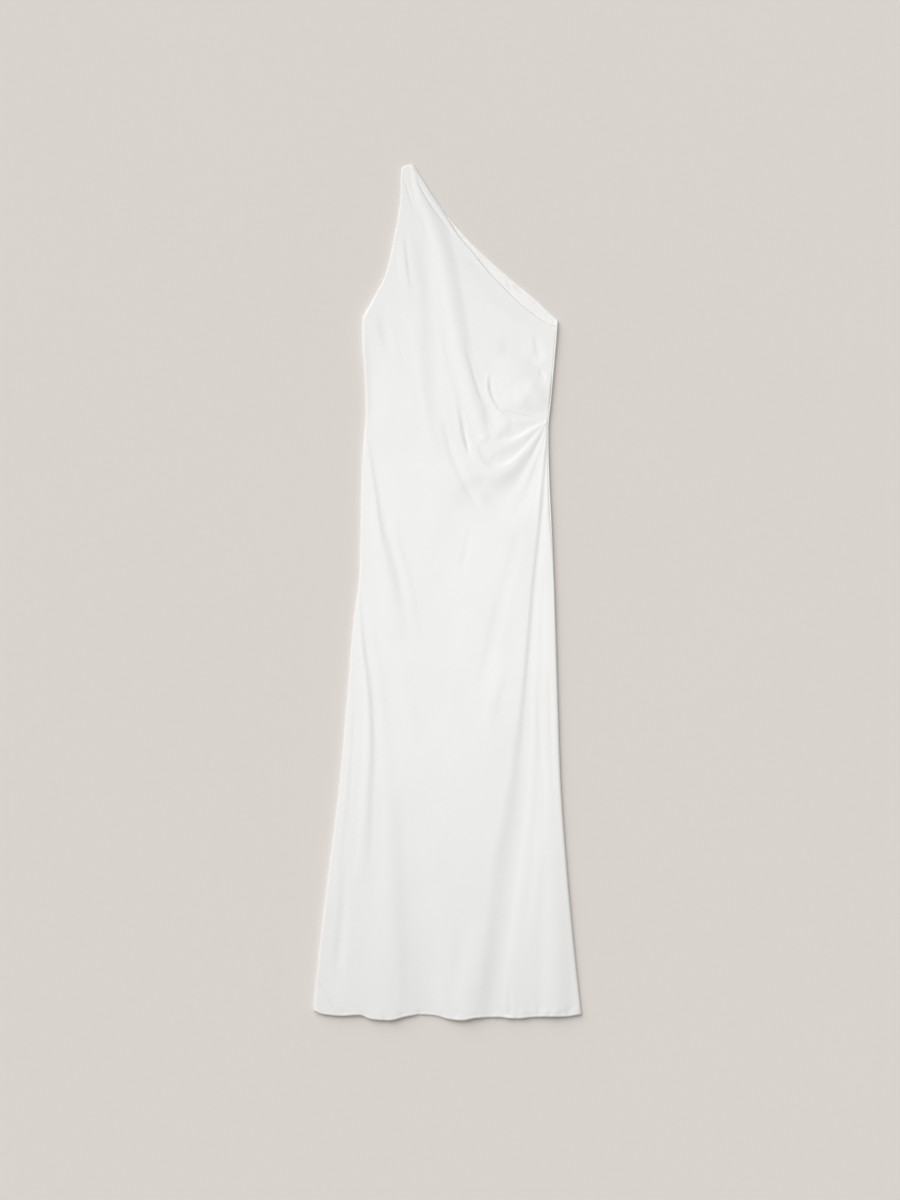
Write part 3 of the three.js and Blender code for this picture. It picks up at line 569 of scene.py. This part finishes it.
def unevenness(x, down):
    """The slight waviness that laid cloth always has."""
    fine = np.sin(x / 17 + 1.3 * np.sin(down / 41)) * np.sin(down / 29 + 0.9 * np.sin(x / 23) + 0.7)
    broad = np.sin((x + 0.6 * down) / 37 + 2.1) * np.sin((down - 0.4 * x) / 61)
    return FINE_WAVE * fine + BROAD_WAVE * broad


def shares(count, first=0, last=None):
    """Even shares from 0 to 1 along a row, or some of them."""
    return np.linspace(0, 1, count + 1)[None, first:last]


def row_levels(spans):
    levels = [0.0]
    for to, steps in spans:
        levels += list(np.linspace(levels[-1], to, steps + 1)[1:])
    return np.array(levels)


def drawn_in(minus, plus):
    return np.clip((plus - minus) / NARROW_ROW, NARROWEST_ROLL, 1)


def edge_points(edge, inward, place, over_width, low, high):
    """x and height of the cloth round an edge, at places along it from the roll's top."""
    angle = np.radians(90 * (1 + np.minimum(place, 0) / QUARTER_TURN))
    middle = mix(low, high, ROLL_MIDDLE)
    width = np.where(angle < 0, np.minimum(UNDER_WIDTH, over_width), over_width)
    reach = np.where(angle < 0, middle - low, high - middle)
    x = edge + inward * (width * (1 - np.cos(angle)) + np.maximum(place, 0))
    return x, middle + reach * np.sin(angle)


def plus_edge(down, neck_roll, neck_end, minus, plus):
    """The cloth's end, half width, lowest and highest on the plus side, at the neckline and the seam."""
    t = smooth((down - neck_end) / NECK_TO_SIDE)
    side_roll = (left_seam_place(down), left_over_width(down), 0.0, roll_height(down))
    end, width, low, high = (mix(neck, side, t) for neck, side in zip(neck_roll, side_roll))
    return end, width * drawn_in(minus, plus), low, high


def groove(place, seam_place, down, corner):
    """Depth that the side seam's stitching draws the cloth in, from the corner of the neckline down."""
    depth = seam_groove(down) * smooth((down - corner) / SEAM_GROOVE_FADE)
    return depth * bell(place - seam_place, SEAM_GROOVE_WIDTH)


def at_shoulder(height, down):
    """Draws the layers together at the shoulder fold."""
    return SHOULDER_MIDDLE + (height - SHOULDER_MIDDLE) * quarter_round(down / SHOULDER_TURN)


def hem_relief(above):
    """Height that the rolled hem adds, at a distance above its edge."""
    share = above / HEM_ROLL
    roll = HEM_ROLL_RISE * smooth(1 - abs(2 * share - 1))
    line = HEM_GROOVE * bell(share - HEM_GROOVE_PLACE, HEM_GROOVE_WIDTH)
    return roll - line - HEM_TURN * (1 - quarter_round(above / HEM_TURN_WIDTH))


def front_level(x, down, minus_top, plus_top, high_minus, high_plus):
    """The front's height between the tops of its two rolls, before the folds."""
    crown = loft(down)
    return (
        crown
        - (crown - high_minus) * (1 - smooth((x - minus_top) / LOFT_BLEND))
        - (crown - high_plus) * (1 - smooth((plus_top - x) / LOFT_BLEND))
    )


def front_surface(fold_depth):
    """The front from shoulder to hem with its pieced corner: tables of x, down and height."""
    down = row_levels(FRONT_ROWS)[:, None]
    minus, plus = outline_minus(down), front_plus(down)
    top = roll_height(down)
    minus_width = OVER_WIDTH * drawn_in(minus, plus)
    seam, plus_width, plus_low, plus_high = plus_edge(
        down, FRONT_NECK_ROLL, FRONT_CORNER - NECK_TO_SIDE / 2, minus, plus
    )
    steps = shares(ROLL_STEPS)
    minus_place = mix(RIGHT_SEAM_PLACE + SEAM_GAP, 0, steps)
    plus_place = mix(np.maximum(0, seam + SEAM_STEP), seam + SEAM_GAP, steps)
    minus_x, minus_height = edge_points(minus, 1, minus_place, minus_width, 0, top)
    plus_x, plus_height = edge_points(plus, -1, plus_place, plus_width, plus_low, plus_high)

    first, last = minus_x[:, -1:], plus_x[:, :1]
    line = np.clip(guide(down), first + GUIDE_INSET, last - GUIDE_INSET)
    middle = np.hstack([
        mix(first, line, shares(FRONT_TO_GUIDE, 1)), mix(line, last, shares(FRONT_FROM_GUIDE, 1, -1))
    ])

    x = np.hstack([minus_x, middle, plus_x])
    height = front_level(x, down, minus + minus_width, plus - plus_width, top, plus_high)
    height[:, : ROLL_STEPS + 1] = minus_height
    on_side = plus_place < 0
    height[:, -ROLL_STEPS - 1 :] = np.where(on_side, plus_height, height[:, -ROLL_STEPS - 1 :])
    height[:, -ROLL_STEPS - 1 :] -= groove(plus_place, seam, down, FRONT_CORNER)

    place = settled(x, down, minus, plus)
    above_hem = settled(x, np.full(x.shape, float(HEM_LEVEL)), minus, plus) - place
    fade = smooth((x - minus) / FOLD_FADE) * smooth((plus - x) / LEFT_FOLD_FADE)
    height = height + (fold_depth * fold_heights(x, place) + unevenness(x, place)) * fade
    height = height + hem_relief(above_hem) * smooth((x - minus) / HEM_FADE) * smooth((plus - x) / HEM_FADE)
    return x, place, at_shoulder(height, down)


def back_surface():
    """The back's outer side, which lies on the surface below, and its edges, which roll up to the front."""
    down = row_levels(BACK_ROWS)[:, None]
    minus, plus = outline_minus(down), back_plus(down)
    end, plus_width, low, high = plus_edge(
        down, BACK_NECK_ROLL, UNDERARM_LEFT - NECK_TO_SIDE / 2, minus, plus
    )
    steps = shares(ROLL_STEPS)
    minus_place = mix(RIGHT_SEAM_PLACE - SEAM_GAP, -2 * QUARTER_TURN, steps)
    plus_place = mix(-2 * QUARTER_TURN, end - SEAM_GAP, shares(BACK_PLUS_ROLL_STEPS))
    minus_x, minus_height = edge_points(
        minus, 1, minus_place, OVER_WIDTH * drawn_in(minus, plus), 0, roll_height(down)
    )
    plus_x, plus_height = edge_points(plus, -1, plus_place, plus_width, low, high)
    plus_height = plus_height - groove(plus_place, end, down, UNDERARM_LEFT)
    middle = mix(minus_x[:, -1:], plus_x[:, :1], shares(BACK_COLUMNS, 1, -1))
    x = np.hstack([minus_x, middle, plus_x])
    height = np.hstack([minus_height, np.zeros(middle.shape), plus_height])
    return x, settled(x, down, minus, plus), at_shoulder(height, down)


def facing_surface():
    """The facing, which lies on the back's inner side and runs under the front's neck edge."""
    down = np.linspace(*FACING_ENDS, FACING_ROWS)[:, None]
    outer = back_plus(down) - FACING_INSET
    inner = np.minimum(front_plus(down) - FACING_TUCKED_UNDER, outer - FACING_NARROWEST)
    share = shares(FACING_COLUMNS - 1) ** FACING_CLOSENESS
    x = mix(inner, outer, share)
    inset = outer - x
    off_line = inset - UNDERSTITCH
    edge = FACING_EDGE_LIFT * bell(inset, FACING_EDGE_WIDTH)
    dent = UNDERSTITCH_DENT * bell(off_line, UNDERSTITCH_WIDTH)
    puckers = np.sin(down / 3.1 + 1.7 * np.sin(down / 11)) * bell(off_line, FACING_PUCKER_WIDTH)
    waves = np.sin(down / 8.7 + x / 31) * smooth(inset / 9)
    down = np.broadcast_to(down, x.shape)
    crumple = np.zeros(x.shape)
    for fold in FACING_CREASES:
        add_fold(fold, x, down, crumple)
    relief = edge - dent + FACING_PUCKER * puckers + FACING_WAVE * waves + crumple
    return x, down, FACING_LEVEL + FACING_WALL + relief


def in_frame(x, down, height=0.0):
    return Vector(((x + SHIFT_X) * MM, (SHOULDER_Y - down) * MM, height * MM))


def grid_mesh(x, down, height, facing_down=False):
    """A bmesh grid laid over tables of x, down and height, with a map in the cloth's own metres."""
    rows, columns = x.shape
    bm = bmesh.new()
    bmesh.ops.create_grid(bm, x_segments=columns - 1, y_segments=rows - 1, size=0.5)
    flat = {}
    for vertex in bm.verts:
        c = round((vertex.co.x + 0.5) * (columns - 1))
        r = round((0.5 - vertex.co.y) * (rows - 1))
        vertex.co = in_frame(x[r, c], down[r, c], height[r, c])
        flat[vertex] = (x[r, c] * MM, -down[r, c] * MM)
    cloth_map = bm.loops.layers.uv.new("cloth")
    for face in bm.faces:
        face.smooth = True
        for loop in face.loops:
            loop[cloth_map].uv = flat[loop.vert]
    if facing_down:
        bmesh.ops.reverse_faces(bm, faces=bm.faces)
    return bm


def add_object(name, data):
    thing = bpy.data.objects.new(name, data)
    bpy.context.scene.collection.objects.link(thing)
    return thing


def add_mesh(name, bm, material):
    mesh = bpy.data.meshes.new(name)
    bm.to_mesh(mesh)
    bm.free()
    mesh.materials.append(material)
    return add_object(name, mesh)


def finished(bm, name, material, wall=None):
    """A mesh object from a bmesh, with a wall on its inner side where one is given."""
    for edge in bm.edges:
        edge.smooth = not edge.is_boundary
    piece = add_mesh(name, bm, material)
    if wall:
        shell = piece.modifiers.new("wall", "SOLIDIFY")
        shell.thickness = wall * MM
        shell.offset = -1
    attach(piece, "root")
    return piece


def cut_at_piecing_seam(front):
    """Cuts the hem corner off the front along a slightly raised seam, and returns it as a second bmesh."""
    start, end = (in_frame(*point) for point in CORNER_SEAM)
    beyond = (end - start).cross(Vector((0, 0, 1))).normalized()

    def off_seam(point):
        return (point - start).dot(beyond) / MM

    for cut in [side * distance * MM for distance in CORNER_CUTS for side in (1, -1)]:
        faces = [f for f in front.faces if abs(off_seam(f.calc_center_median())) < CORNER_NEAR]
        around = {e for f in faces for e in f.edges} | {v for f in faces for v in f.verts}
        bmesh.ops.bisect_plane(
            front, geom=[*faces, *around], dist=1e-7, plane_co=start + beyond * cut, plane_no=beyond
        )
    for vertex in front.verts:
        off = off_seam(vertex.co)
        if abs(off) < 6 * CORNER_RIDGE_WIDTH:
            along = (vertex.co - start).dot((end - start).normalized()) / MM
            pucker = 1 + CORNER_PUCKER * math.sin(along / CORNER_PUCKER_LENGTH)
            vertex.co.z += CORNER_RIDGE * pucker * bell(off, CORNER_RIDGE_WIDTH) * MM
    corner = front.copy()
    edge = CORNER_CUTS[0] * 0.99  # leaves the strip between the first two cuts out of both
    for part, side in ((front, -1), (corner, 1)):
        away = [f for f in part.faces if side * off_seam(f.calc_center_median()) < edge]
        bmesh.ops.delete(part, geom=away, context="FACES")
    return corner


def stitches(name, points, thread):
    """Small thread stitches lying along a line of points on the cloth."""
    spacing, length, thickness, lift = thread
    points = [point + Vector((0, 0, lift * MM)) for point in points]
    bm = bmesh.new()
    due = spacing * MM
    for a, b in zip(points[:-1], points[1:]):
        span = (b - a).length
        while due < span:
            middle = a.lerp(b, due / span)
            turn = (b - a).to_track_quat("Z", "Y").to_matrix().to_4x4()
            shape = Matrix.Translation(middle) @ turn @ Matrix.Diagonal((thickness, thickness, length, 1))
            bmesh.ops.create_uvsphere(bm, u_segments=6, v_segments=5, radius=0.5 * MM, matrix=shape)
            due += spacing * MM
        due -= span
    for face in bm.faces:
        face.smooth = True
    return finished(bm, name, material_of("thread"))


def new_material(name):
    material = bpy.data.materials.new(name)
    material.use_nodes = True
    tree = material.node_tree
    return material, tree.nodes, tree.links, tree.nodes["Principled BSDF"]


def set_inputs(node, values):
    for name, value in values.items():
        node.inputs[name].default_value = value


def new_node(nodes, kind, values):
    node = nodes.new("ShaderNode" + kind)
    set_inputs(node, values)
    return node


def toned(nodes, links, noise, color, shade, start=0, end=1):
    """The colour, darkened to a shade of itself where a noise is low."""
    tone = nodes.new("ShaderNodeValToRGB")
    low, high = tone.color_ramp.elements
    low.position, low.color = start, (*[c * shade for c in color], 1)
    high.position, high.color = end, (*color, 1)
    links.new(noise.outputs["Fac"], tone.inputs["Fac"])
    return tone.outputs["Color"]


def cloth_noise(nodes, links, angle, sizes, detail):
    """Noise of the given sizes in millimetres, along and across one thread direction of the cloth."""
    cloth_map = nodes.new("ShaderNodeUVMap")
    cloth_map.uv_map = "cloth"
    scale = [size * MM for size in sizes] + [1]
    mapping = new_node(nodes, "Mapping", {"Rotation": (0, 0, math.radians(angle)), "Scale": scale})
    mapping.vector_type = "TEXTURE"
    noise = new_node(nodes, "TexNoise", {"Scale": 1, "Detail": detail})
    links.new(cloth_map.outputs["UV"], mapping.inputs["Vector"])
    links.new(mapping.outputs["Vector"], noise.inputs["Vector"])
    return noise


def satin(name, color, roughness, sheen):
    """Silk satin: long floats along the warp, soft slubs across it, and a lustre that varies a little."""
    material, nodes, links, shader = new_material(name)
    floats = cloth_noise(nodes, links, BIAS, FLOAT_SIZES, detail=1)
    slubs = cloth_noise(nodes, links, BIAS, SLUB_SIZES, detail=2)
    patches = cloth_noise(nodes, links, 0, PATCH_SIZES, detail=2)
    base = toned(nodes, links, slubs, color, shade=0.985, start=0.3, end=0.62)
    links.new(base, shader.inputs["Base Color"])

    least, most = LUSTRE
    lustre = new_node(nodes, "MapRange", {
        "From Min": 0.3, "From Max": 0.7, "To Min": roughness + least, "To Max": roughness + most,
    })
    links.new(patches.outputs["Fac"], lustre.inputs["Value"])
    links.new(lustre.outputs["Result"], shader.inputs["Roughness"])

    threads = new_node(nodes, "Mix", {"Factor": SLUB_SHARE})
    links.new(floats.outputs["Fac"], threads.inputs[2])
    links.new(slubs.outputs["Fac"], threads.inputs[3])
    bump = new_node(nodes, "Bump", {"Strength": 0.18, "Distance": WEAVE_RELIEF * MM})
    links.new(threads.outputs[0], bump.inputs["Height"])
    links.new(bump.outputs["Normal"], shader.inputs["Normal"])
    set_inputs(shader, {"Specular IOR Level": 0.6, "Sheen Weight": sheen, "Sheen Roughness": 0.4})
    return material


def grained(name, color, shade, grain_scale, roughness, specular):
    """A plain finish whose colour has a fine grain."""
    material, nodes, links, shader = new_material(name)
    place = nodes.new("ShaderNodeTexCoord")
    grain = new_node(nodes, "TexNoise", {"Scale": grain_scale})
    links.new(place.outputs["Object"], grain.inputs["Vector"])
    links.new(toned(nodes, links, grain, color, shade), shader.inputs["Base Color"])
    set_inputs(shader, {"Roughness": roughness, "Specular IOR Level": specular})
    return material


def material_of(name):
    """One of the finishes, made when it is first asked for."""
    if name in bpy.data.materials:
        return bpy.data.materials[name]
    look = bpy.context.scene.dress
    if name == "satin face":
        return satin(name, look.satin_color, look.roughness, look.sheen)
    if name == "satin reverse":
        return satin(name, look.reverse_color, look.roughness + REVERSE_DULLER, REVERSE_SHEEN)
    if name == "thread":
        return grained(name, look.satin_color, shade=0.93, grain_scale=3000, roughness=0.5, specular=0.5)
    return grained(name, look.surface_color, shade=0.995, grain_scale=3, roughness=0.9, specular=0.1)


def number(name, description, default, **kind):
    return FloatProperty(name=name, description=description, default=default, min=0, **kind)


def fraction(name, description, default, most=1):
    return number(name, description, default, max=most, subtype="FACTOR")


def tint(name, description, default):
    return FloatVectorProperty(
        name=name, description=description, default=default, min=0, max=1, size=3, subtype="COLOR"
    )


class DressSettings(bpy.types.PropertyGroup):
    fold_depth: fraction("Fold depth", "Height of the front's folds, as a share of the table's", 1, most=2)
    satin_color: tint("Satin", "Colour of the satin's face", (0.847, 0.842, 0.828))
    reverse_color: tint("Reverse", "Colour of the satin's duller side", (0.88, 0.872, 0.852))
    surface_color: tint("Surface", "Colour of the surface under the dress", (0.936, 0.893, 0.846))
    roughness: fraction("Roughness", "How dull the satin's face is", 0.42)
    sheen: fraction("Sheen", "Soft light at grazing angles on the satin's face", 0.1)
    room_light: number("Room light", "Share of the light that comes from all round", 0.35)
    key_light: number("Key light", "Share of the light on the dress from the upper left", 0.37)
    overhead_light: number("Overhead light", "Share of the light on the dress from the lamp over it", 0.28)
    surface_light: number("Surface light", "Share of the light on the surface from the upper left", 0.39)


class DRESS_OT_back(bpy.types.Operator):
    """Lay the back panel flat, with its edges rolled up to meet the front"""

    bl_idname = "dress.back"
    bl_label = "Back panel"

    def execute(self, context):
        piece = finished(
            grid_mesh(*back_surface(), facing_down=True), "back", material_of("satin reverse"), BACK_WALL
        )
        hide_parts("back_panel")
        return {"FINISHED"}


class DRESS_OT_facing(bpy.types.Operator):
    """Lay the facing inside the back neckline, with its line of understitching"""

    bl_idname = "dress.facing"
    bl_label = "Back neck facing"

    def execute(self, context):
        x, down, height = facing_surface()
        piece = finished(
            grid_mesh(x, down, height), "back_neckline_facing", material_of("satin reverse"), FACING_WALL
        )
        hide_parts("back_neck_facing")
        inset = x[:, -1:] - x
        columns = np.argmin(abs(inset - UNDERSTITCH), axis=1)
        line = [in_frame(x[r, c], down[r, c], height[r, c]) for r, c in enumerate(columns)]
        line = [a.lerp(b, 0.5) for a, b in zip(line[:-1], line[1:])]
        seam = stitches("understitching", line, UNDERSTITCH_THREAD)
        return {"FINISHED"}


class DRESS_OT_front(bpy.types.Operator):
    """Drape the front from the shoulder into the waist's tuck, and piece its hem corner on"""

    bl_idname = "dress.front"
    bl_label = "Front"

    def execute(self, context):
        x, down, height = front_surface(context.scene.dress.fold_depth)
        front = grid_mesh(x, down, height)
        corner = cut_at_piecing_seam(front)
        face = material_of("satin face")
        panel = finished(front, "front", face, SATIN_WALL)
        pieced = finished(corner, "pieced_hem_corner", face, SATIN_WALL)
        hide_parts("front_panel")
        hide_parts("front_hem_corner")
        middle = down[:, x.shape[1] // 2]
        row = np.argmin(abs(middle[-1] - middle - HEM_STITCH_RISE))
        columns = range(ROLL_STEPS, x.shape[1] - ROLL_STEPS)
        line = [in_frame(x[row, c], down[row, c], height[row, c]) for c in columns]
        seam = stitches("hem_stitches", line, HEM_THREAD)
        return {"FINISHED"}


def place_light(light, position, toward, receivers):
    """A light that shines on the receivers only, while everything throws shadows in it."""
    lamp = add_object(light.name, light)
    lamp.location = position
    lamp.rotation_euler = toward.to_track_quat("-Z", "Y").to_euler()
    lit = bpy.data.collections.new("lit by " + light.name)
    for piece in receivers:
        lit.objects.link(piece)
    lamp.light_linking.receiver_collection = lit


class DRESS_OT_stage(bpy.types.Operator):
    """Set the pale surface, the soft light from the upper left and the camera straight above"""

    bl_idname = "dress.stage"
    bl_label = "Surface, light and camera"

    def execute(self, context):
        settings = context.scene.dress
        bm = bmesh.new()
        bmesh.ops.create_grid(bm, x_segments=1, y_segments=1, size=SURFACE_REACH)
        surface = add_mesh("surface", bm, material_of("surface"))

        world = bpy.data.worlds.new("room")
        world.use_nodes = True
        world.node_tree.nodes["Background"].inputs["Color"].default_value = ROOM_TINT
        world.node_tree.nodes["Background"].inputs["Strength"].default_value = settings.room_light
        context.scene.world = world

        dress = [piece for piece in bpy.data.objects if piece.type == "MESH" and piece is not surface]
        for name, share, angles, color, receivers in (
            ("key on the dress", settings.key_light, DRESS_KEY, KEY_TINT, dress),
            ("key on the surface", settings.surface_light, SURFACE_KEY, (1, 1, 1), [surface]),
        ):
            height, turn, spread = (math.radians(angle) for angle in angles)
            key = bpy.data.lights.new(name, "SUN")
            key.energy = share * math.pi / math.sin(height)
            key.angle = spread
            key.color = color
            toward = Vector((math.sin(turn), -math.cos(turn), -math.tan(height)))
            place_light(key, KEY_PLACE, toward, receivers)

        panel = bpy.data.lights.new("overhead", "AREA")
        panel.shape = "RECTANGLE"
        panel.size, panel.size_y = OVERHEAD_SIZE
        panel.energy = OVERHEAD_GAIN * settings.overhead_light * (math.pi * OVERHEAD_HEIGHT) ** 2
        place_light(panel, (0, OVERHEAD_Y, OVERHEAD_HEIGHT), Vector((0, 0, -1)), dress)

        camera = bpy.data.cameras.new("camera")
        camera.lens = CAMERA_LENS
        camera.sensor_width = CAMERA_SENSOR
        eye = add_object("camera", camera)
        eye.location = (CAMERA_X, CAMERA_Y, FRAME_HEIGHT * CAMERA_LENS / CAMERA_SENSOR)
        context.scene.camera = eye
        context.scene.view_settings.view_transform = "Standard"
        return {"FINISHED"}


class DRESS_PT_build(bpy.types.Panel):
    bl_label = "Satin dress"
    bl_idname = "DRESS_PT_build"
    bl_space_type = "VIEW_3D"
    bl_region_type = "UI"
    bl_category = "Dress"

    def draw(self, context):
        for name in DressSettings.__annotations__:
            self.layout.prop(context.scene.dress, name)
        for operator in OPERATORS:
            self.layout.operator(operator.bl_idname)


OPERATORS = (DRESS_OT_back, DRESS_OT_facing, DRESS_OT_front, DRESS_OT_stage)


def register():
    for kind in (DressSettings, *OPERATORS, DRESS_PT_build):
        bpy.utils.register_class(kind)
    bpy.types.Scene.dress = PointerProperty(type=DressSettings)


def unregister():
    del bpy.types.Scene.dress
    for kind in reversed((DressSettings, *OPERATORS, DRESS_PT_build)):
        bpy.utils.unregister_class(kind)


def main():
    register()
    bpy.ops.dress.back()
    bpy.ops.dress.facing()
    bpy.ops.dress.front()
    bpy.ops.dress.stage()


if __name__ == "__main__":
    main()
